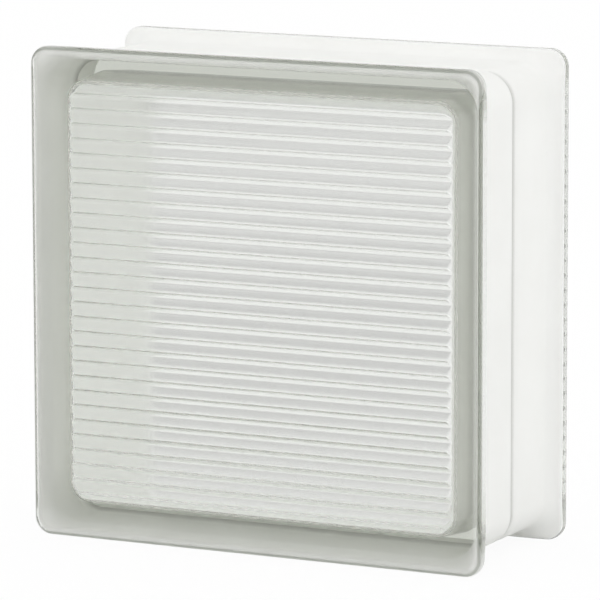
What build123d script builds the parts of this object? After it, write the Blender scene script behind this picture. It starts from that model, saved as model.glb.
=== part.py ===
from build123d import *
import math
import os

os.makedirs("parts", exist_ok=True)

# A hollow glass block, in millimetres. It stands on one edge: the front face looks along -Y, +Z is up,
# and the origin is at the middle of the edge that it rests on.

# Overall size
side = 190.0                  # width and height over the rims
depth = 80.0                  # from face to face

# Clear rim round each face
rim_thickness = 4.4           # at the corners, where the rim stands out most
rim_corner = 7.0              # corner radius of the rim, seen from the front
rim_front_round = 1.5         # rounded edge between face and rim
rim_back_round = 0.8          # rounded edge between rim and channel

# Mortar channel that runs round the four edges
channel_recess = 5.0          # floor of the channel below the rim
channel_corner = 12.0         # corner radius of the channel floor
cove_radius = 8.0             # hollow curve from the channel floor up to the rim

# Seam where the two halves are fused
seam_shoulder = 4.0           # length over which each half rolls in towards the seam
seam_round = 4.6              # radius of that roll

# Glass walls round the sealed cavity
face_wall = 6.8               # face, measured to the flat bottom of the dish
side_wall = 8.0               # side, behind the face, below the channel floor
cavity_draft = 3.5            # taper of the cavity's sides towards the face, in degrees
cavity_corner = 8.0           # corner radius of the cavity, at the face
dish_round = 5.0              # hollow corner between face and side, inside

# Prismatic ribs moulded across the inside of each face
rib_pitch = 5.75
rib_height = 1.1
rib_crest = 3.45              # from the valley below a rib up to its crest, past the middle of the pitch
rib_seat = 0.2                # valleys between the ribs stand this far off the dish's flat bottom

# White coating that keys the mortar
coat_thickness = 0.4
coat_drop = 1.2               # the coating stops this far below the rim's outline

# Sizes that follow
half_side = side / 2
half_depth = depth / 2
floor_half = half_side - channel_recess
cavity_half = floor_half - side_wall
rib_count = 2 * round(cavity_half / rib_pitch) + 1   # odd, so that one rib runs across the middle
ribbed_half = rib_count * rib_pitch / 2
tolerance = 0.01              # for telling which edges lie on a face


def across(from_face):
    """Plane across the front half, at a distance behind its face, looking out through the face."""
    return Plane((0, from_face - half_depth, half_side), x_dir=(1, 0, 0), z_dir=(0, -1, 0))


def prism(half, corner, start, end):
    """Rounded square prism between two distances behind the face."""
    return extrude(across(start) * RectangleRounded(2 * half, 2 * half, corner), amount=start - end)


def loop_at(solid, from_face):
    """Edges of a solid that lie in the plane at a distance behind the face."""
    return solid.edges().filter_by_position(Axis.Y, from_face - half_depth, from_face - half_depth)


def outline_gap(point):
    """How far a point lies inside the rim's outline, seen from the front."""
    straight = half_side - rim_corner
    past_x = abs(point.X) - straight
    past_z = abs(point.Z - half_side) - straight
    return rim_corner - math.hypot(max(past_x, 0), max(past_z, 0)) - min(max(past_x, past_z), 0)


def rim_envelope():
    """Square column that the rim's outline would sweep, rounded where it meets the face."""
    column = prism(half_side, rim_corner, 0, half_depth)
    return fillet(loop_at(column, 0), rim_front_round)


def channel_side(lift=0.0):
    """Body of the front half inside its channel, with the cove flaring out past the rim.

    It is cut off at the seam, part of the way round the roll. A lift raises the whole surface off the glass.
    """
    back = rim_thickness + lift
    flare = cove_radius - lift
    past_seam = half_depth - seam_shoulder + seam_round + lift
    core = prism(floor_half + lift, channel_corner + lift, 0, past_seam)
    core = fillet(loop_at(core, past_seam), seam_round + lift)
    wide = floor_half + cove_radius + rim_corner
    body = core + prism(wide, channel_corner + cove_radius + rim_corner, 0, back)
    foot = [edge for edge in loop_at(body, back) if edge.bounding_box().max.X < wide - rim_corner / 2]
    foot = [edge for edge in foot if edge.bounding_box().min.X > rim_corner / 2 - wide]
    foot = [edge for edge in foot if edge.bounding_box().max.Z < half_side + wide - rim_corner / 2]
    foot = [edge for edge in foot if edge.bounding_box().min.Z > half_side - wide + rim_corner / 2]
    body = fillet(foot, flare)
    return body & prism(2 * half_side, channel_corner, 0, half_depth)


def ribs():
    """Prisms side by side across the inside of the face, as one bar with a zigzag back."""
    lowest = half_side - ribbed_half
    valley = face_wall + rib_seat - half_depth
    back = [(lowest, valley)]
    for number in range(rib_count):
        back.append((lowest + number * rib_pitch + rib_crest, valley + rib_height))
        back.append((lowest + (number + 1) * rib_pitch, valley))
    front = [(lowest + 2 * ribbed_half, valley - face_wall / 2), (lowest, valley - face_wall / 2)]
    end_on = Plane((-half_side, 0, 0), x_dir=(0, 0, 1), z_dir=(-1, 0, 0))
    return extrude(end_on * make_face(Polyline(*back, *front, close=True)), amount=-side)


def cavity():
    """Hollow behind the ribbed face, open at the seam."""
    mouth = across(face_wall) * RectangleRounded(2 * cavity_half, 2 * cavity_half, cavity_corner)
    hollow = extrude(mouth, amount=face_wall - half_depth, taper=-cavity_draft)
    return fillet(loop_at(hollow, face_wall), dish_round) - ribs()


def front_half():
    """Pressed dish of clear glass: rim, channel side, ribbed face and its half of the cavity."""
    outside = rim_envelope() & channel_side()
    rim_sides_end = rim_front_round - half_depth + tolerance
    rim_back = [edge for edge in outside.edges() if edge.bounding_box().min.Y > rim_sides_end]
    rim_back = [edge for edge in rim_back if abs(outline_gap(edge @ 0.5)) < tolerance]
    return fillet(rim_back, rim_back_round) - cavity()


def edge_coating():
    """Thin white skin in the channel of both halves, between the two clear rims."""
    inside_rims = prism(half_side - coat_drop, rim_corner - coat_drop, 0, half_depth)
    skin = (channel_side(coat_thickness) & inside_rims) - channel_side()
    return skin + mirror(skin, about=Plane.XZ)


front = front_half()
export_step(front, "parts/front_half.step")
export_step(mirror(front, about=Plane.XZ), "parts/rear_half.step")
export_step(edge_coating(), "parts/edge_coating.step")
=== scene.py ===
"""Hollow glass block, dressed for the studio.

Two pressed halves of clear glass are fused at a seam, ribs are moulded inside each face, and a white
coating lies in the mortar channel that runs round the four edges. Shapes have their sizes in millimetres, and
finishes and the studio in metres. Meshes are made in metres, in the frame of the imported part.
"""

import logging
import math
from dataclasses import dataclass, field
from enum import Enum
from typing import Any, Optional, Sequence, Union

import bpy
import numpy as np
from mathutils import Matrix, Vector


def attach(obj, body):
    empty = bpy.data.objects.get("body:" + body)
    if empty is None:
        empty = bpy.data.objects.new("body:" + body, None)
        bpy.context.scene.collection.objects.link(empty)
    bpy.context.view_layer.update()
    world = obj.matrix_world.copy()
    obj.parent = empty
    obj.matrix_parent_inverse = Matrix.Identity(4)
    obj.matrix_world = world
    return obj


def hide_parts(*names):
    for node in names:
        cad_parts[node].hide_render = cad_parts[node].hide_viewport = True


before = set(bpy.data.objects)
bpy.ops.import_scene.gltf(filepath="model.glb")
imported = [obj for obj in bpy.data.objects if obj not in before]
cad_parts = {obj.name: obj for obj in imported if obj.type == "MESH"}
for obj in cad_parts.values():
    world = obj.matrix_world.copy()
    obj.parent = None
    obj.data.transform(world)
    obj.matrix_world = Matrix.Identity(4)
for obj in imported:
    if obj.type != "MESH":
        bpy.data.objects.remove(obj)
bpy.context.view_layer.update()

LOG = logging.getLogger("glass_block")
MM = 0.001
WHITE = (1.0, 1.0, 1.0)
Stops = tuple[tuple[float, float], ...]


class Side(Enum):
    """The two halves, by the direction in which their faces look along Y."""

    FRONT = -1
    REAR = 1


class Socket:
    """A node's output that can be used in arithmetic; each operation adds a Math node to its tree."""

    def __init__(self, sheet: "NodeSheet", link: bpy.types.NodeSocket) -> None:
        """Keeps the sheet and the output that it stands for."""
        self.sheet = sheet
        self.link = link

    def _math(self, operation: str, *values: Any) -> "Socket":
        """Adds one Math node.

        Args:
            operation: Name of the node's operation.
            values: Sockets or numbers for its inputs, in order.

        Returns:
            The node's result.
        """
        return self.sheet.node("ShaderNodeMath", {"operation": operation}, dict(enumerate(values)))

    def __add__(self, other: Any) -> "Socket":
        """Sum."""
        return self._math("ADD", self, other)

    def __radd__(self, other: Any) -> "Socket":
        """Sum, with the number first."""
        return self._math("ADD", other, self)

    def __sub__(self, other: Any) -> "Socket":
        """Difference."""
        return self._math("SUBTRACT", self, other)

    def __rsub__(self, other: Any) -> "Socket":
        """Difference, with the number first."""
        return self._math("SUBTRACT", other, self)

    def __mul__(self, other: Any) -> "Socket":
        """Product."""
        return self._math("MULTIPLY", self, other)

    def __rmul__(self, other: Any) -> "Socket":
        """Product, with the number first."""
        return self._math("MULTIPLY", other, self)

    def __truediv__(self, other: Any) -> "Socket":
        """Quotient."""
        return self._math("DIVIDE", self, other)

    def __pow__(self, other: Any) -> "Socket":
        """Power."""
        return self._math("POWER", self, other)

    def __lt__(self, other: Any) -> "Socket":
        """1 where this is the smaller, otherwise 0."""
        return self._math("LESS_THAN", self, other)

    def __gt__(self, other: Any) -> "Socket":
        """1 where this is the larger, otherwise 0."""
        return self._math("GREATER_THAN", self, other)

    def __abs__(self) -> "Socket":
        """Size without the sign."""
        return self._math("ABSOLUTE", self)

    def sign(self) -> "Socket":
        """-1, 0 or 1."""
        return self._math("SIGN", self)

    def fraction(self) -> "Socket":
        """Part after the point."""
        return self._math("FRACT", self)

    def root(self) -> "Socket":
        """Square root."""
        return self._math("SQRT", self)

    def around_one(self, spread: float) -> "Socket":
        """Noise around 0.5, made a factor around 1."""
        return (1 - spread / 2) + spread * self

    def at_least(self, other: Any) -> "Socket":
        """The larger of the two."""
        return self._math("MAXIMUM", self, other)

    def at_most_soft(self, other: Any, blend: Any) -> "Socket":
        """The smaller of the two, rounded where they cross."""
        return self._math("SMOOTH_MIN", self, other, blend)

    def at_least_soft(self, other: Any, blend: Any) -> "Socket":
        """The larger of the two, rounded where they cross."""
        return self._math("SMOOTH_MAX", self, other, blend)


class NodeSheet:
    """A node tree that is being drawn."""

    def __init__(self, tree: bpy.types.NodeTree) -> None:
        """Starts from an empty tree."""
        self.tree = tree
        tree.nodes.clear()

    def node(
        self,
        kind: str,
        settings: Optional[dict[str, Any]] = None,
        sockets: Optional[dict[Union[str, int], Any]] = None,
        out: Union[str, int] = 0,
    ) -> Socket:
        """Adds one node.

        Args:
            kind: The node's type.
            settings: Properties to set before any socket.
            sockets: Input names or numbers, with a number, a colour, a vector or another socket for each.
            out: The output that is wanted.

        Returns:
            That output. Its own sheet and node can be reached through it.
        """
        made = self.tree.nodes.new(kind)
        for name, value in (settings or {}).items():
            setattr(made, name, value)
        for name, value in (sockets or {}).items():
            if isinstance(value, Socket):
                self.tree.links.new(value.link, made.inputs[name])
            else:
                made.inputs[name].default_value = value
        return Socket(self, made.outputs[out] if made.outputs else made.inputs[0])

    def parts(self, vector: Socket) -> list[Socket]:
        """Splits a vector.

        Args:
            vector: What is split.

        Returns:
            Its x, y and z.
        """
        split = self.node("ShaderNodeSeparateXYZ", None, {0: vector}).link.node
        return [Socket(self, output) for output in split.outputs]

    def ramp(self, value: Socket, stops: Stops) -> Socket:
        """Maps a value through grey stops.

        Args:
            value: What is mapped.
            stops: Pairs of position and grey level, in rising order.

        Returns:
            The mapped value.
        """
        mapped = self.node("ShaderNodeValToRGB", None, {"Fac": value})
        elements = mapped.link.node.color_ramp.elements
        for number, (place, level) in enumerate(stops):
            element = elements[number] if number < 2 else elements.new(place)
            element.position = place
            element.color = (level, level, level, 1.0)
        return mapped

    def mix_colour(self, share: Any, first: Any, second: Any) -> Socket:
        """Mixes two colours.

        Args:
            share: How much of the second is taken.
            first: Colour or socket.
            second: Colour or socket.

        Returns:
            The mixed colour.
        """
        return self.node("ShaderNodeMix", {"data_type": "RGBA"}, {0: share, 6: first, 7: second}, out=2)

    def noise(self, place: Socket, scale: float, detail: float, roughness: float = 0.5) -> Socket:
        """Cloudy noise.

        Args:
            place: Where it is read.
            scale: Cells to the metre.
            detail: Octaves.
            roughness: Weight of the finer octaves.

        Returns:
            The noise, around 0.5.
        """
        sockets = {"Vector": place, "Scale": scale, "Detail": detail, "Roughness": roughness}
        return self.node("ShaderNodeTexNoise", None, sockets)


def rgba(colour: Sequence[float]) -> tuple[float, float, float, float]:
    """Colour with full alpha."""
    return (colour[0], colour[1], colour[2], 1.0)


class Finish:
    """A material drawn from nodes."""

    name = "finish"

    def material(self) -> bpy.types.Material:
        """Makes the material.

        Returns:
            The new material.
        """
        made = bpy.data.materials.new(self.name)
        made.use_nodes = True
        sheet = NodeSheet(made.node_tree)
        surface, volume = self.draw(sheet)
        sockets = {"Surface": surface}
        if volume is not None:
            sockets["Volume"] = volume
        sheet.node("ShaderNodeOutputMaterial", None, sockets)
        return made

    def draw(self, sheet: NodeSheet) -> tuple[Socket, Optional[Socket]]:
        """Draws the shader.

        Args:
            sheet: The material's empty tree.

        Returns:
            The surface shader, and the volume shader or None.
        """
        raise NotImplementedError


@dataclass(frozen=True)
class ClearGlass(Finish):
    """Pressed soda glass: nearly colourless, faintly green in depth, with the slight waves of the mould.

    The hollow is given by its half width, half depth and middle height, the window by its half width, and the
    rims by their half width and corner radius. Stops on a rim count in from its outline, in shares of its
    reach.
    """

    name: str = "clear_pressed_glass"
    refraction: float = 1.52
    body_colour: tuple[float, float, float] = (0.956, 0.9585, 0.951)
    body_density: float = 145.0
    surface_colour: tuple[float, float, float] = (0.992, 0.996, 0.991)
    wave_scale: float = 45.0
    wave_detail: float = 2.0
    wave_height: float = 0.00002
    haze_scale: float = 900.0
    haze_detail: float = 3.0
    rib_haze: float = 0.21
    rib_haze_spread: float = 0.6
    rib_frost: float = 0.04
    rib_frost_spread: float = 0.8
    wall_frost: float = 0.78
    frost_colour: tuple[float, float, float] = (0.96, 0.965, 0.955)
    hollow: tuple[float, float, float] = (0.0855, 0.0350, 0.095)
    window: float = 0.0795
    face: float = 0.0399
    rim: tuple[float, float] = (0.095, 0.007)
    edge_reach: float = 0.0045
    # The edge fields paint light and shade on the rims: a dark line of painted shade in the rounded edge of
    # the faces, and a painted highlight strip of whitish frost inside it and on the rims' sides.
    edge_start: float = 0.0384
    edge_highlight_side: float = 0.01
    edge_shade_line: Stops = ((0.04, 0.0), (0.1, 1.0), (0.26, 1.0), (0.32, 0.0))
    edge_highlight_strip: Stops = ((0.3, 0.0), (0.34, 1.0), (0.53, 1.0), (0.87, 0.0))
    edge_shade_colour: tuple[float, float, float] = (0.5, 0.52, 0.49)
    edge_highlight_share: float = 0.18

    def draw(self, sheet: NodeSheet) -> tuple[Socket, Optional[Socket]]:
        """Draws clear glass with waves in its surface, a frosted hollow, a green tint in its body, and
        painted shade and a painted highlight on the rims.

        Args:
            sheet: The material's empty tree.

        Returns:
            The surface shader and the volume shader.
        """
        place = sheet.node("ShaderNodeTexCoord", out="Object")
        inside, wall, border = self.zones(sheet, place)
        line, painted_highlight = self.rims(sheet, place)
        waves = sheet.noise(place, self.wave_scale, self.wave_detail) * border
        haze = sheet.noise(place, self.haze_scale, self.haze_detail)
        relief = {"Strength": 1.0, "Distance": self.wave_height, "Height": waves}
        bump = sheet.node("ShaderNodeBump", None, relief)
        clean = sheet.mix_colour(haze, rgba(self.surface_colour), rgba(WHITE))
        sockets = {
            # Painted shade: a dark line in the faces' rounded edge, in place of the dark surroundings seen
            # through it.
            "Base Color": sheet.mix_colour(line, clean, rgba(self.edge_shade_colour)),
            "Roughness": inside * self.rib_haze * haze.around_one(self.rib_haze_spread),
            "IOR": self.refraction,
            "Transmission Weight": 1.0,
            "Normal": bump,
        }
        clear = sheet.node("ShaderNodeBsdfPrincipled", None, sockets)
        frosted = sheet.node("ShaderNodeBsdfDiffuse", None, {"Color": rgba(self.frost_colour)})
        ribs = inside * self.rib_frost * haze.around_one(self.rib_frost_spread)
        # Painted highlight: whitish frost in a strip inside the dark edge line and on the rims' sides.
        share = ribs + wall * self.wall_frost + painted_highlight * self.edge_highlight_share
        surface = sheet.node("ShaderNodeMixShader", None, {0: share, 1: clear, 2: frosted})
        tint = {"Color": rgba(self.body_colour), "Density": self.body_density}
        return surface, sheet.node("ShaderNodeVolumeAbsorption", None, tint)

    def zones(self, sheet: NodeSheet, place: Socket) -> tuple[Socket, Socket, Socket]:
        """Tells the hollow, which the hot plunger leaves less bright, its walls, and the border of the faces.

        Args:
            sheet: The material's tree.
            place: Where it is read.

        Returns:
            1 inside the hollow, 1 on its side walls, and 1 on the faces past the ribbed window; otherwise 0.
        """
        along, deep, up = sheet.parts(place)
        width, depth, height = self.hollow
        across = abs(along).at_least(abs(up - height))
        past = across > self.window
        inside = (across < width) * (abs(deep) < depth)
        seen_from_hollow = 1 - sheet.node("ShaderNodeNewGeometry", out="Backfacing")
        return inside, inside * past * seen_from_hollow, past * (abs(deep) > self.face)

    def rims(self, sheet: NodeSheet, place: Socket) -> tuple[Socket, Socket]:
        """Tells the painted dark line of shade in the rounded edge of the faces, and the painted highlight
        strip inside it and on the rims' sides.

        Args:
            sheet: The material's tree.
            place: Where it is read.

        Returns:
            How much of the painted shade line and of the painted highlight lies at the place, both only as
            seen from outside.
        """
        along, deep, up = sheet.parts(place)
        half, corner = self.rim
        past_side = (abs(along) - (half - corner)).at_least(0.0)
        past_top = (abs(up - half) - (half - corner)).at_least(0.0)
        inset = (corner - (past_side**2 + past_top**2).root()) / self.edge_reach
        outside = 1 - sheet.node("ShaderNodeNewGeometry", out="Backfacing")
        face = outside * (abs(deep) > self.edge_start)
        side = outside * (inset < self.edge_highlight_side)
        return sheet.ramp(inset, self.edge_shade_line) * face, sheet.ramp(inset, self.edge_highlight_strip) * face + side


@dataclass(frozen=True)
class WhiteCoat(Finish):
    """Sprayed white coating: matt, a little uneven, with a fine grain, and painted shade along the seam."""

    name: str = "white_edge_coating"
    colour: tuple[float, float, float] = (0.97, 0.97, 0.962)
    thin_colour: tuple[float, float, float] = (0.95, 0.95, 0.94)
    translucence: float = 0.38
    # The seam values paint shade into the coat along the seam groove: grey, fading out over a ragged band.
    seam_shade_colour: tuple[float, float, float] = (0.74, 0.74, 0.725)
    seam_shade_reach: float = 0.0016
    seam_shade_ragged: float = 0.3
    seam_shade_fade: Stops = ((0.2, 1.0), (1.0, 0.0))
    cloud_scale: float = 60.0
    cloud_detail: float = 4.0
    cloud_edge: Stops = ((0.35, 0.0), (0.70, 1.0))
    grain_scale: float = 1400.0
    grain_detail: float = 3.0
    grain_strength: float = 0.5
    grain_height: float = 0.00008
    fineness: float = 0.6
    roughness: float = 0.5
    roughness_spread: float = 0.2
    specular: float = 0.3

    def draw(self, sheet: NodeSheet) -> tuple[Socket, Optional[Socket]]:
        """Draws a matt white with clouds of thinner paint, a sprayed grain and painted shade along the seam.

        Args:
            sheet: The material's empty tree.

        Returns:
            The surface shader, and None.
        """
        place = sheet.node("ShaderNodeTexCoord", out="Object")
        thin = sheet.noise(place, self.cloud_scale, self.cloud_detail, self.fineness)
        clouds = sheet.ramp(thin, self.cloud_edge)
        grain = sheet.noise(place, self.grain_scale, self.grain_detail, self.fineness)
        relief = {"Strength": self.grain_strength, "Distance": self.grain_height, "Height": grain}
        bump = sheet.node("ShaderNodeBump", None, relief)
        _, deep, _ = sheet.parts(place)
        # Painted shade: the coat is greyed along the seam, where the groove's shade falls.
        painted_seam_shade = sheet.ramp(abs(deep) / self.seam_shade_reach + self.seam_shade_ragged * (grain - 0.5), self.seam_shade_fade)
        white = sheet.mix_colour(clouds, rgba(self.colour), rgba(self.thin_colour))
        sockets = {
            "Base Color": sheet.mix_colour(painted_seam_shade, white, rgba(self.seam_shade_colour)),
            "Roughness": self.roughness + self.roughness_spread * grain,
            "Specular IOR Level": self.specular,
            "Normal": bump,
        }
        matt = sheet.node("ShaderNodeBsdfPrincipled", None, sockets)
        passing = sheet.node("ShaderNodeBsdfTranslucent", None, {"Color": sockets["Base Color"]})
        return sheet.node("ShaderNodeMixShader", None, {0: self.translucence, 1: matt, 2: passing}), None


class MeshDraft:
    """Points and faces of one closed shell, in millimetres."""

    def __init__(self) -> None:
        """Starts empty."""
        self.points: list[np.ndarray] = []
        self.faces: list[tuple[int, ...]] = []
        self.count = 0

    def row(self, points: np.ndarray) -> np.ndarray:
        """Adds a row of points.

        Args:
            points: One point to a line, x, y and z.

        Returns:
            Their numbers.
        """
        self.points.append(np.asarray(points, float))
        numbers = np.arange(self.count, self.count + len(points))
        self.count += len(points)
        return numbers

    def skin(self, rows: Sequence[np.ndarray], closed: bool) -> None:
        """Joins each row of points to the next with four-sided faces.

        Args:
            rows: Rows of point numbers, all of one length.
            closed: Whether the last point of a row joins the first.
        """
        for low, high in zip(rows, rows[1:]):
            last = len(low) if closed else len(low) - 1
            for here in range(last):
                there = (here + 1) % len(low)
                self.faces.append((int(low[here]), int(low[there]), int(high[there]), int(high[here])))

    def cap(self, loop: np.ndarray) -> None:
        """Closes a flat loop with one face."""
        self.faces.append(tuple(int(number) for number in loop))

    def coordinates(self) -> np.ndarray:
        """All points, one to a line."""
        return np.concatenate(self.points)

    def enclosed(self) -> float:
        """Signed volume inside the faces."""
        points = self.coordinates()
        total = 0.0
        for face in self.faces:
            corners = points[list(face)]
            fan = np.cross(corners[1:-1], corners[2:])
            total += float((fan @ corners[0]).sum())
        return total / 6

    def turned(self, outward: bool) -> "MeshDraft":
        """Turns the faces so that they all look out of the shell, or all into it.

        Args:
            outward: Whether they look out.

        Returns:
            This draft.
        """
        if (self.enclosed() > 0) != outward:
            self.faces = [face[::-1] for face in self.faces]
        return self


def mesh_object(name: str, drafts: Sequence[MeshDraft], material: bpy.types.Material) -> bpy.types.Object:
    """Makes one smooth mesh object from shells.

    Args:
        name: Name of the piece.
        drafts: Its shells.
        material: Its finish.

    Returns:
        The object, linked to the scene.
    """
    faces: list[tuple[int, ...]] = []
    start = 0
    for draft in drafts:
        faces += [tuple(number + start for number in face) for face in draft.faces]
        start += draft.count
    points = np.concatenate([draft.coordinates() for draft in drafts]) * MM
    mesh = bpy.data.meshes.new(name)
    mesh.from_pydata(points.tolist(), [], faces)
    mesh.shade_smooth()
    mesh.materials.append(material)
    made = bpy.data.objects.new(name, mesh)
    bpy.context.scene.collection.objects.link(made)
    return made


@dataclass
class BlockOutline:
    """Outside of the block: clear rims, mortar channel and seam, followed round the four edges."""

    side: float = 190.0
    depth: float = 80.0
    rim_back: float = 4.4
    rim_corner: float = 7.0
    front_round: float = 1.5
    back_round: float = 0.8
    recess: float = 5.0
    floor_corner: float = 12.0
    cove: float = 8.0
    seam_shoulder: float = 4.0
    seam_round: float = 4.6
    straight_steps: int = 5
    bend_steps: int = 10
    corner_steps: int = 12
    rim: np.ndarray = field(init=False)
    rim_normal: np.ndarray = field(init=False)
    foot: np.ndarray = field(init=False)
    foot_normal: np.ndarray = field(init=False)
    reach: np.ndarray = field(init=False)

    def __post_init__(self) -> None:
        """Lays out the points that every ring round the block follows."""
        quarter, normals = self._quarter()
        turn = np.array(((0.0, 1.0), (-1.0, 0.0)))
        points, directions = [quarter], [normals]
        for _ in range(3):
            points.append(points[-1] @ turn.T)
            directions.append(directions[-1] @ turn.T)
        self.rim = np.concatenate(points)
        self.rim_normal = np.concatenate(directions)
        centre = self.side / 2 - self.recess - self.floor_corner
        inside = np.clip(self.rim, -centre, centre)
        away = self.rim - inside
        gap = np.linalg.norm(away, axis=1, keepdims=True)
        self.foot_normal = away / gap
        self.foot = inside + self.floor_corner * self.foot_normal
        self.reach = gap[:, 0] - self.floor_corner

    def _quarter(self) -> tuple[np.ndarray, np.ndarray]:
        """Follows the rim from the middle of one edge to the middle of the next.

        Returns:
            Points and outward directions, seen from the front.
        """
        half = self.side / 2
        bend = half - self.recess - self.floor_corner
        centre = half - self.rim_corner
        near = np.linspace(0.0, bend, self.straight_steps, endpoint=False)
        far = np.linspace(bend, centre, self.bend_steps, endpoint=False)
        along = np.concatenate((near, far))
        angle = np.linspace(math.pi / 2, 0.0, self.corner_steps + 1)
        first = np.stack((along, np.full_like(along, half)), axis=1)
        ray = np.stack((np.cos(angle), np.sin(angle)), axis=1)
        corner = centre + self.rim_corner * ray
        second = first[:0:-1, ::-1]
        ahead = np.tile((0.0, 1.0), (len(first), 1))
        sideways = np.tile((1.0, 0.0), (len(second), 1))
        return np.concatenate((first, corner, second)), np.concatenate((ahead, ray, sideways))

    def place(self, flat: np.ndarray, behind: Union[float, np.ndarray], side: Side) -> np.ndarray:
        """Puts points seen from the front into the block's frame.

        Args:
            flat: Points across the face, from its middle.
            behind: Distance behind the face.
            side: Which half they belong to.

        Returns:
            The points in the frame, in millimetres.
        """
        deep = np.broadcast_to(side.value * (self.depth / 2 - behind), (len(flat),))
        return np.stack((flat[:, 0], deep, flat[:, 1] + self.side / 2), axis=1)

    def cove_depth(self, out: np.ndarray) -> np.ndarray:
        """Distance behind the face of the channel's cove.

        Args:
            out: Distance outside the channel's floor.

        Returns:
            The distance behind the face.
        """
        rise = np.clip(self.cove - out, 0.0, self.cove)
        return self.rim_back + self.cove - np.sqrt(np.maximum(self.cove**2 - rise**2, 0.0))

    def face_rings(self, steps: int = 8) -> list[tuple[np.ndarray, np.ndarray]]:
        """Rings from the flat face over its rounded edge.

        Args:
            steps: Rings over the rounding.

        Returns:
            Points across the face, with their distances behind it.
        """
        rings = [(self.rim - 2 * self.front_round * self.rim_normal, np.zeros(len(self.rim)))]
        for angle in np.linspace(0.0, math.pi / 2, steps + 1):
            inset = self.front_round * (1 - math.sin(angle))
            deep = self.front_round * (1 - math.cos(angle))
            rings.append((self.rim - inset * self.rim_normal, np.full(len(self.rim), deep)))
        return rings

    def back_rings(self, round_steps: int = 5, cove_steps: int = 14) -> list[tuple[np.ndarray, np.ndarray]]:
        """Rings over the rim's back edge and down the cove to the channel's floor.

        Args:
            round_steps: Rings over the back edge.
            cove_steps: Rings over the cove.

        Returns:
            Points across the face, with their distances behind it.
        """
        edge = self.cove_depth(self.reach)
        rise = np.clip(self.cove - self.reach, 0.0, self.cove)
        slope = rise / np.sqrt(self.cove**2 - rise**2)
        turn = np.arctan2(1.0, slope)
        length = self.back_round * np.tan(turn / 2)
        weight = np.cos(turn / 2)
        step_in = length * np.sin(turn)
        landing = self.cove_depth(self.reach - step_in)
        rings = []
        for share in np.linspace(0.0, 1.0, round_steps + 1):
            first, middle, last = (1 - share) ** 2, 2 * share * (1 - share) * weight, share**2
            total = first + middle + last
            inset = last * step_in / total
            deep = (first * (edge - length) + middle * edge + last * landing) / total
            rings.append((self.foot + (self.reach - inset)[:, None] * self.foot_normal, deep))
        start = self.reach - step_in
        shelf = np.maximum(start - self.cove, 0.0)
        opening = np.arcsin(np.clip((self.cove - start) / self.cove, 0.0, 1.0))
        whole = shelf + self.cove * (math.pi / 2 - opening)
        for share in np.linspace(0.0, 1.0, cove_steps + 1)[1:]:
            gone = share * whole
            angle = opening + np.maximum(gone - shelf, 0.0) / self.cove
            out = np.where(gone < shelf, start - gone, self.cove * (1 - np.sin(angle)))
            rings.append((self.foot + out[:, None] * self.foot_normal, self.cove_depth(out)))
        return rings

    def seam_rings(self, steps: int = 6) -> list[tuple[np.ndarray, np.ndarray]]:
        """Rings over the channel's floor and the roll at the seam, as far as the seam itself.

        Args:
            steps: Rings over the roll.

        Returns:
            Points across the face, with their distances behind it.
        """
        rings = []
        roll = self.depth / 2 - self.seam_shoulder
        middle = (roll + self.rim_back + self.cove) / 2
        for deep in (middle, *(roll + np.linspace(0.0, self.seam_shoulder, steps + 1))):
            past = max(deep - roll, 0.0)
            drop = self.seam_round - math.sqrt(self.seam_round**2 - past**2)
            rings.append((self.foot - drop * self.foot_normal, np.full(len(self.foot), deep)))
        return rings

    def shell(self) -> MeshDraft:
        """Closed outside of the block.

        Returns:
            The shell, with its faces looking out.
        """
        draft = MeshDraft()
        half = self.face_rings() + self.back_rings() + self.seam_rings()
        rows = [draft.row(self.place(flat, deep, Side.FRONT)) for flat, deep in half]
        rows += [draft.row(self.place(flat, deep, Side.REAR)) for flat, deep in half[-2::-1]]
        draft.skin(rows, closed=True)
        draft.cap(rows[0][::-1])
        draft.cap(rows[-1])
        return draft.turned(outward=True)


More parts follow.
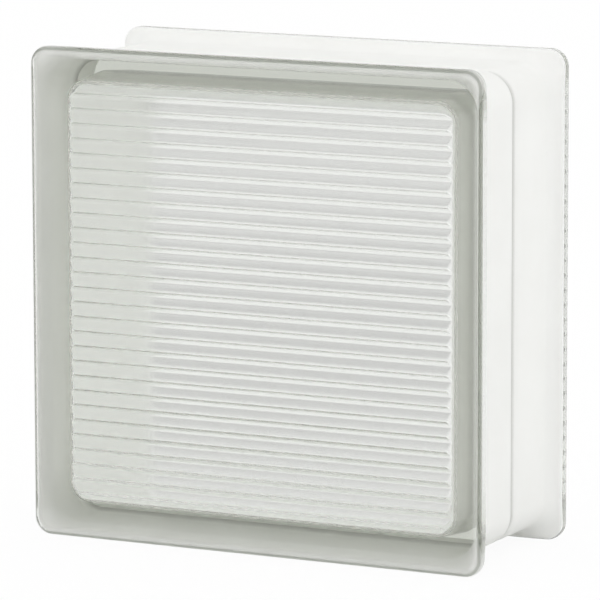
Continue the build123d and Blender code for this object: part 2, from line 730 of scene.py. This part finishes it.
@dataclass
class Cavity:
    """Sealed hollow of the block: two dishes with drafted walls, meeting at the seam."""

    outline: BlockOutline
    face_wall: float = 6.8
    side_wall: float = 8.0
    draft_angle: float = 3.5
    corner: float = 8.0
    dish_round: float = 5.0
    rib_count: int = 29
    rib_pitch: float = 5.75
    rib_crest: float = 3.45
    flank_rows: int = 10
    row_pull: float = 0.1
    row_gap: float = 0.1
    grid_angle: float = 62.0
    end_columns: int = 20
    end_width: float = 4.4
    middle_columns: int = 6

    @property
    def half(self) -> float:
        """Half the width where wall and bottom would meet without the rounding."""
        return self.outline.side / 2 - self.outline.recess - self.side_wall

    @property
    def ribbed(self) -> float:
        """Half the height of all ribs, the outermost of which run into the walls."""
        return self.rib_count * self.rib_pitch / 2

    @property
    def flat(self) -> float:
        """Half the width of the dish's flat bottom."""
        lean = math.radians(90.0 - self.draft_angle)
        return self.half - self.dish_round * math.tan(lean / 2)

    @property
    def flat_corner(self) -> float:
        """Corner radius of the flat bottom."""
        return self.corner - (self.half - self.flat)

    def dish_depth(self, across: np.ndarray) -> np.ndarray:
        """Distance of the smooth dish behind the face.

        Args:
            across: Points across the face, from its middle.

        Returns:
            Their distances behind the face.
        """
        inner = self.flat - self.flat_corner
        past = np.abs(across) - inner
        away = np.linalg.norm(np.maximum(past, 0.0), axis=1) + np.minimum(past.max(axis=1), 0.0)
        rise = np.clip(away - self.flat_corner, 0.0, self.dish_round)
        return self.face_wall + self.dish_round - np.sqrt(self.dish_round**2 - rise**2)

    def grid(self) -> np.ndarray:
        """Rows of points over the ribbed part, close together at the valleys and at the ribs' ends.

        Returns:
            Rows by columns by two, from bottom left to top right.
        """
        reach = self.flat + self.dish_round * math.sin(math.radians(self.grid_angle))
        corner = self.flat_corner + reach - self.flat
        even = np.linspace(0.0, 1.0, self.flank_rows, endpoint=False)
        share = even - self.row_pull * np.sin(2 * math.pi * even)
        upper = self.rib_crest + share * (self.rib_pitch - self.rib_crest)
        one = np.concatenate((share * self.rib_crest, upper))
        ribs = (np.arange(self.rib_count)[:, None] * self.rib_pitch + one[None, :]).ravel() - self.ribbed
        heights = np.concatenate(((-reach,), ribs[np.abs(ribs) < reach - self.row_gap], (reach,)))
        over = np.maximum(np.abs(heights) - (reach - corner), 0.0)
        widths = reach - corner + np.sqrt(np.maximum(corner**2 - over**2, 0.0))
        ends = np.linspace(0.0, self.end_width, self.end_columns)
        inside = widths - ends[-1]
        middle = np.linspace(-1.0, 1.0, self.middle_columns + 2)[1:-1]
        left = -widths[:, None] + ends[None, :]
        right = widths[:, None] - ends[None, ::-1]
        columns = np.concatenate((left, inside[:, None] * middle[None, :], right), axis=1)
        return np.stack((columns, np.repeat(heights[:, None], columns.shape[1], axis=1)), axis=2)

    def border(self, shape: tuple[int, int]) -> list[tuple[int, int]]:
        """Grid places round the border, in order.

        Args:
            shape: Rows and columns of the grid.

        Returns:
            Row and column of each place.
        """
        rows, columns = shape
        loop = [(0, column) for column in range(columns)]
        loop += [(row, columns - 1) for row in range(1, rows)]
        loop += [(rows - 1, column) for column in range(columns - 2, -1, -1)]
        return loop + [(row, 0) for row in range(rows - 2, 0, -1)]

    def shell(self) -> tuple[MeshDraft, np.ndarray]:
        """Closed surface of the hollow.

        Returns:
            The shell, with its faces looking into the hollow, and 1 for each point that a rib may raise.
        """
        draft = MeshDraft()
        grid = self.grid()
        rows, columns = grid.shape[:2]
        flat = grid.reshape(-1, 2)
        loop = self.border((rows, columns))
        edge = np.array([grid[place] for place in loop])
        bend = self.flat - self.flat_corner
        away = edge - np.clip(edge, -bend, bend)
        normal = away / np.linalg.norm(away, axis=1, keepdims=True)
        centre = edge - self.dish_round * math.sin(math.radians(self.grid_angle)) * normal
        borders, walls = [], []
        for side in Side:
            numbers = draft.row(self.outline.place(flat, self.dish_depth(flat), side)).reshape(rows, columns)
            draft.skin(list(numbers[:: side.value]), closed=False)
            borders.append(np.array([numbers[place] for place in loop]))
        ribbed = draft.count

        def ring(out: float, deep: float, side: Side) -> np.ndarray:
            """Adds one ring of wall points."""
            return draft.row(self.outline.place(centre + out * normal, deep, side))

        for side in Side:
            walls.append([ring(out, deep, side) for out, deep in self._wall()])
        seam = ring(self._seam(), self.outline.depth / 2, Side.FRONT)
        draft.skin([borders[0], *walls[0], seam, *walls[1][::-1], borders[1]], closed=True)
        raised = np.zeros(draft.count)
        raised[:ribbed] = 1.0
        return draft.turned(outward=False), raised

    def _seam(self) -> float:
        """How far the wall stands outside the rounding's centre line, at the seam."""
        slant = math.tan(math.radians(self.draft_angle))
        return self.half - self.flat + (self.outline.depth / 2 - self.face_wall) * slant

    def _wall(self, round_steps: int = 4, wall_steps: int = 3) -> list[tuple[float, float]]:
        """Section of the wall from the grid's border to just short of the seam.

        Args:
            round_steps: Steps over the rest of the rounding.
            wall_steps: Steps up the drafted wall.

        Returns:
            Pairs of distance outside the rounding's centre line and distance behind the face.
        """
        last = 90.0 - self.draft_angle
        pairs = []
        for angle in np.radians(np.linspace(self.grid_angle, last, round_steps + 1)[1:]):
            deep = self.face_wall + self.dish_round * (1 - math.cos(angle))
            pairs.append((self.dish_round * math.sin(angle), deep))
        start_out, start_deep = pairs[-1]
        end_out, end_deep = self._seam(), self.outline.depth / 2
        for share in np.linspace(0.0, 1.0, wall_steps + 1)[1:-1]:
            out = start_out + share * (end_out - start_out)
            pairs.append((out, start_deep + share * (end_deep - start_deep)))
        return pairs


@dataclass
class MouldedRibs:
    """Ribs side by side across the inside of both faces, raised by a node tree.

    The flank below a crest is flat. The one above it is shorter, and swells a little.
    """

    cavity: Cavity
    height: float = 1.1
    seat: float = 0.2
    swell: float = 0.20
    crest_round: float = 0.17
    valley_round: float = 0.65
    end_round: float = 0.25
    raised: str = "ribbed"

    def lengths(self) -> dict[str, float]:
        """Named sizes that the tree takes.

        Returns:
            Sizes in millimetres.
        """
        cavity, outline = self.cavity, self.cavity.outline
        return {
            "Rib Pitch": cavity.rib_pitch,
            "Rib Height": self.height,
            "Rib Crest": cavity.rib_crest,
            "Flank Swell": self.swell,
            "Valley Depth": cavity.face_wall + self.seat,
            "Ribbed Half": cavity.ribbed,
            "Middle Height": outline.side / 2,
            "Half Depth": outline.depth / 2,
            "Crest Round": self.crest_round,
            "Valley Round": self.valley_round,
            "End Round": self.end_round,
        }

    def tree(self) -> bpy.types.NodeTree:
        """Builds the tree that raises the ribs.

        Returns:
            The tree, with a named input for each size.
        """
        tree = bpy.data.node_groups.new("moulded_ribs", "GeometryNodeTree")
        sheet = NodeSheet(tree)
        tree.interface.new_socket("Geometry", in_out="INPUT", socket_type="NodeSocketGeometry")
        for name in self.lengths():
            tree.interface.new_socket(name, in_out="INPUT", socket_type="NodeSocketFloat")
        tree.interface.new_socket("Glass", in_out="INPUT", socket_type="NodeSocketMaterial")
        tree.interface.new_socket("Geometry", in_out="OUTPUT", socket_type="NodeSocketGeometry")
        inputs = sheet.node("NodeGroupInput").link.node

        def given(name: str) -> Socket:
            """The named input."""
            return Socket(sheet, inputs.outputs[name])

        along, deep, up = sheet.parts(sheet.node("GeometryNodeInputPosition"))
        pitch, height, crest = given("Rib Pitch"), given("Rib Height"), given("Rib Crest")
        swell = 4 * given("Flank Swell")
        above = pitch - crest
        from_middle = up - given("Middle Height")
        here = ((from_middle + given("Ribbed Half")) / pitch).fraction() * pitch
        gone = ((here - crest) / above).at_least(0.0)
        rib = (height * here / crest).at_most_soft((1 - gone) * (height + swell * gone), given("Crest Round"))
        under = here / above
        rib_below = -1 * under * (height + swell * (1 + under))
        rib_above = height * (here - pitch) / crest
        blend = given("Valley Round")
        raised = rib.at_least_soft(rib_below, blend).at_least_soft(rib_above, blend)
        dish = given("Half Depth") - abs(deep)
        behind = dish.at_least_soft(given("Valley Depth") + raised, given("End Round"))
        new_deep = (given("Half Depth") - behind) * deep.sign()
        moved = sheet.node("ShaderNodeCombineXYZ", None, {0: along, 1: new_deep, 2: up})
        chosen = sheet.node("GeometryNodeInputNamedAttribute", {"data_type": "FLOAT"}, {"Name": self.raised})
        sockets = {"Geometry": given("Geometry"), "Selection": chosen > 0.5, "Position": moved}
        placed = sheet.node("GeometryNodeSetPosition", None, sockets)
        real = sheet.node("GeometryNodeRealizeInstances", None, {"Geometry": placed})
        dressed = sheet.node("GeometryNodeSetMaterial", None, {"Geometry": real, "Material": given("Glass")})
        sheet.node("NodeGroupOutput", None, {"Geometry": dressed})
        return tree

    def raise_on(self, blank: bpy.types.Object, raised: np.ndarray, glass: bpy.types.Material) -> None:
        """Raises the ribs on a blank and leaves it a plain mesh.

        Args:
            blank: The glass body with smooth dishes.
            raised: 1 for each point that a rib may raise.
            glass: Finish of the body.
        """
        attribute = blank.data.attributes.new(self.raised, "FLOAT", "POINT")
        attribute.data.foreach_set("value", raised.astype(np.float32))
        modifier = blank.modifiers.new("moulded_ribs", "NODES")
        tree = self.tree()
        modifier.node_group = tree
        values: dict[str, Any] = {name: size * MM for name, size in self.lengths().items()}
        values["Glass"] = glass
        for item in tree.interface.items_tree:
            if item.in_out == "INPUT" and item.name in values:
                modifier[item.identifier] = values[item.name]
        shaped = bpy.data.meshes.new_from_object(blank.evaluated_get(bpy.context.evaluated_depsgraph_get()))
        blank.modifiers.remove(modifier)
        smooth = blank.data
        blank.data = shaped
        bpy.data.meshes.remove(smooth)
        shaped.name = blank.name
        shaped.attributes.remove(shaped.attributes[self.raised])
        shaped.shade_smooth()


@dataclass
class GlassBody:
    """The two fused halves, as one piece of clear glass."""

    outline: BlockOutline
    finish: ClearGlass = ClearGlass()
    name: str = "glass_body"

    def build(self) -> bpy.types.Object:
        """Makes the body and dresses it.

        Returns:
            The piece.
        """
        glass = self.finish.material()
        cavity = Cavity(self.outline)
        outside = self.outline.shell()
        inside, raised = cavity.shell()
        body = mesh_object(self.name, (outside, inside), glass)
        MouldedRibs(cavity).raise_on(body, np.concatenate((np.zeros(outside.count), raised)), glass)
        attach(body, "root")
        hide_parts("front_half", "rear_half")
        return body


@dataclass
class EdgeCoating:
    """White skin in the mortar channel of both halves, between the clear rims."""

    outline: BlockOutline
    thickness: float = 0.4
    contact: float = 0.03
    drop: float = 0.35
    feather: float = 1.6
    thin_edge: float = 0.05
    cove_steps: int = 20
    step_growth: float = 1.3
    roll_steps: int = 8
    finish: WhiteCoat = WhiteCoat()
    name: str = "edge_coating_skin"

    def section(self, lift: float, thin_edge: float) -> list[tuple[np.ndarray, np.ndarray]]:
        """Section of one of the skin's surfaces, from its front edge over shelf and cove to the seam.

        Args:
            lift: Height of the surface off the glass.
            thin_edge: Height that it has at its feathered front edge.

        Returns:
            Distances outside the channel's floor and behind the face, for each point of a ring.
        """
        o = self.outline
        start = o.reach - self.drop / (o.foot_normal * o.rim_normal).sum(axis=1)
        shelf = np.maximum(start - o.cove, 0.0)
        opening = np.arcsin(np.clip((o.cove - start) / o.cove, 0.0, 1.0))
        whole = shelf + o.cove * (math.pi / 2 - opening)
        rings = []
        for share in np.linspace(0.0, 1.0, self.cove_steps + 1) ** self.step_growth:
            run = share * whole
            thick = thin_edge + (lift - thin_edge) * np.sin(np.minimum(run / self.feather, 1.0) * math.pi / 2)
            angle = opening + np.maximum(run - shelf, 0.0) / o.cove
            out = np.maximum(shelf - run, 0.0) + o.cove - (o.cove - thick) * np.sin(angle)
            rings.append((out, o.rim_back + o.cove - (o.cove - thick) * np.cos(angle)))
        roll = o.depth / 2 - o.seam_shoulder
        radius = o.seam_round + lift
        for past in np.linspace(0.0, o.seam_shoulder, self.roll_steps + 1):
            out = np.full(len(whole), math.sqrt(radius**2 - past**2) - o.seam_round)
            rings.append((out, np.full(len(whole), roll + past)))
        return rings

    def build(self) -> bpy.types.Object:
        """Makes the skin and dresses it.

        Returns:
            The piece.
        """
        draft = MeshDraft()
        o = self.outline
        outer = self.section(self.thickness, self.thin_edge)
        inner = self.section(-self.contact, -self.contact)

        def ring(pair: tuple[np.ndarray, np.ndarray], side: Side) -> np.ndarray:
            """Adds one ring of points."""
            return draft.row(o.place(o.foot + pair[0][:, None] * o.foot_normal, pair[1], side))

        rows = [ring(pair, Side.FRONT) for pair in outer]
        rows += [ring(pair, Side.REAR) for pair in outer[-2::-1]]
        rows += [ring(pair, Side.REAR) for pair in inner]
        rows += [ring(pair, Side.FRONT) for pair in inner[-2::-1]]
        draft.skin([*rows, rows[0]], closed=True)
        draft.turned(outward=True)
        coat = mesh_object(self.name, (draft,), self.finish.material())
        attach(coat, "root")
        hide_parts("edge_coating")
        return coat


@dataclass
class Studio:
    """White floor, soft light and the camera at the photograph's angle.

    The camera's distance, shifts and middle height are in millimetres.
    """

    azimuth: float = 26.6223
    elevation: float = 9.3803
    roll: float = -0.1139
    distance: float = 1996.48
    lens: float = 312.51
    shift_right: float = 0.198
    shift_up: float = -2.534
    middle: float = 95.0
    floor_size: float = 6.0
    floor_colour: tuple[float, float, float] = (0.8, 0.8, 0.8)
    floor_white: float = 0.93
    floor_white_shown: float = 0.8
    world_fill: float = 1.2
    back_shade: Stops = ((0.0, 0.55), (0.8, 0.5), (0.93, 0.95), (1.0, 1.0))
    height_shade: Stops = ((0.0, 1.0), (0.515, 1.0), (0.58, 0.5), (1.0, 0.42))
    lamp_power: float = 1.6
    lamp_size: float = 1.2
    lamp_place: tuple[float, float, float] = (1.4, 0.1, 0.8)
    lamp_aim: tuple[float, float, float] = (0.0, 0.0, 0.1)
    glass_bounces: int = 24
    other_bounces: int = 12

    def camera(self) -> None:
        """Makes the camera."""
        turn, tilt, lean = (math.radians(angle) for angle in (self.azimuth, self.elevation, self.roll))
        view = Vector((-math.sin(turn) * math.cos(tilt), math.cos(turn) * math.cos(tilt), -math.sin(tilt)))
        level = view.cross(Vector((0.0, 0.0, 1.0))).normalized()
        above = level.cross(view)
        target = Vector((0.0, 0.0, self.middle)) + level * self.shift_right + above * self.shift_up
        right = level * math.cos(lean) + above * math.sin(lean)
        up = right.cross(view)
        data = bpy.data.cameras.new("camera")
        data.lens = self.lens
        data.sensor_width = 36.0
        data.clip_start, data.clip_end = 0.1, 50.0
        made = bpy.data.objects.new("camera", data)
        turned = Matrix((right, up, -view)).transposed().to_4x4()
        made.matrix_world = Matrix.Translation((target - view * self.distance) * MM) @ turned
        bpy.context.scene.collection.objects.link(made)
        bpy.context.scene.camera = made

    def floor(self) -> None:
        """Makes the white floor."""
        half = self.floor_size / 2
        mesh = bpy.data.meshes.new("floor")
        corners = ((-half, -half, 0.0), (half, -half, 0.0), (half, half, 0.0), (-half, half, 0.0))
        mesh.from_pydata(corners, [], [(0, 1, 2, 3)])
        made = bpy.data.objects.new("floor", mesh)
        bpy.context.scene.collection.objects.link(made)
        material = bpy.data.materials.new("floor_white")
        material.use_nodes = True
        sheet = NodeSheet(material.node_tree)
        matt = sheet.node("ShaderNodeBsdfDiffuse", None, {"Color": rgba(self.floor_colour)})
        white = sheet.node("ShaderNodeEmission", None, {"Color": rgba(WHITE), "Strength": 1.0})
        camera, indirect = self.kinds(sheet)
        seen = camera * self.floor_white + indirect * self.floor_white_shown
        surface = sheet.node("ShaderNodeMixShader", None, {0: seen, 1: matt, 2: white})
        sheet.node("ShaderNodeOutputMaterial", None, {"Surface": surface})
        mesh.materials.append(material)

    def kinds(self, sheet: NodeSheet) -> tuple[Socket, Socket]:
        """Which rays see the studio, rather than only carry its light.

        Args:
            sheet: Tree that the answer is used in.

        Returns:
            1 for the camera's own rays, and 1 for rays that came to it mirrored or through glass alone.
        """
        paths = sheet.node("ShaderNodeLightPath").link.node
        camera = Socket(sheet, paths.outputs["Is Camera Ray"])
        through = Socket(sheet, paths.outputs["Is Transmission Ray"])
        scattered = Socket(sheet, paths.outputs["Diffuse Depth"]) > 0.5
        return camera, Socket(sheet, paths.outputs["Is Glossy Ray"]).at_least(through) * (1 - scattered)

    def world(self) -> None:
        """Makes the surroundings: white to the camera, even where they light, shaded in the glass."""
        world = bpy.data.worlds.new("studio")
        bpy.context.scene.world = world
        world.use_nodes = True
        sheet = NodeSheet(world.node_tree)
        _, back, height = sheet.parts(sheet.node("ShaderNodeTexCoord", out="Object"))
        by_back = sheet.ramp(back * 0.5 + 0.5, self.back_shade)
        shown = by_back * sheet.ramp(height * 0.5 + 0.5, self.height_shade)
        camera, indirect = self.kinds(sheet)
        strength = self.world_fill + camera * (1 - self.world_fill) + indirect * (shown - self.world_fill)
        light = sheet.node("ShaderNodeBackground", None, {"Color": rgba(WHITE), "Strength": strength})
        sheet.node("ShaderNodeOutputWorld", None, {"Surface": light})

    def lamp(self) -> None:
        """Makes the soft square lamp at the side."""
        data = bpy.data.lights.new("side_light", "AREA")
        data.energy = self.lamp_power
        data.size = self.lamp_size
        made = bpy.data.objects.new("side_light", data)
        made.location = self.lamp_place
        aim = Vector(self.lamp_aim) - Vector(self.lamp_place)
        made.rotation_euler = aim.to_track_quat("-Z", "Y").to_euler()
        bpy.context.scene.collection.objects.link(made)

    def build(self) -> None:
        """Makes floor, light and camera."""
        self.floor()
        self.world()
        self.lamp()
        self.camera()
        settings = bpy.context.scene.cycles
        settings.max_bounces = self.glass_bounces
        settings.transmission_bounces = self.glass_bounces
        settings.glossy_bounces = self.other_bounces
        settings.diffuse_bounces = self.other_bounces
        settings.blur_glossy = 0.0
        bpy.context.scene.view_settings.view_transform = "Standard"


def report(piece: bpy.types.Object) -> None:
    """Writes a piece's size to the log."""
    triangles = sum(len(face.vertices) - 2 for face in piece.data.polygons)
    LOG.info("%s: %d triangles, %s m", piece.name, triangles, [round(size, 4) for size in piece.dimensions])


def main() -> None:
    """Builds the block and its studio, in order."""
    logging.basicConfig(level=logging.INFO, format="%(name)s: %(message)s")
    outline = BlockOutline()
    for assembly in (GlassBody(outline), EdgeCoating(outline)):
        report(assembly.build())
    Studio().build()


if __name__ == "__main__":
    main()
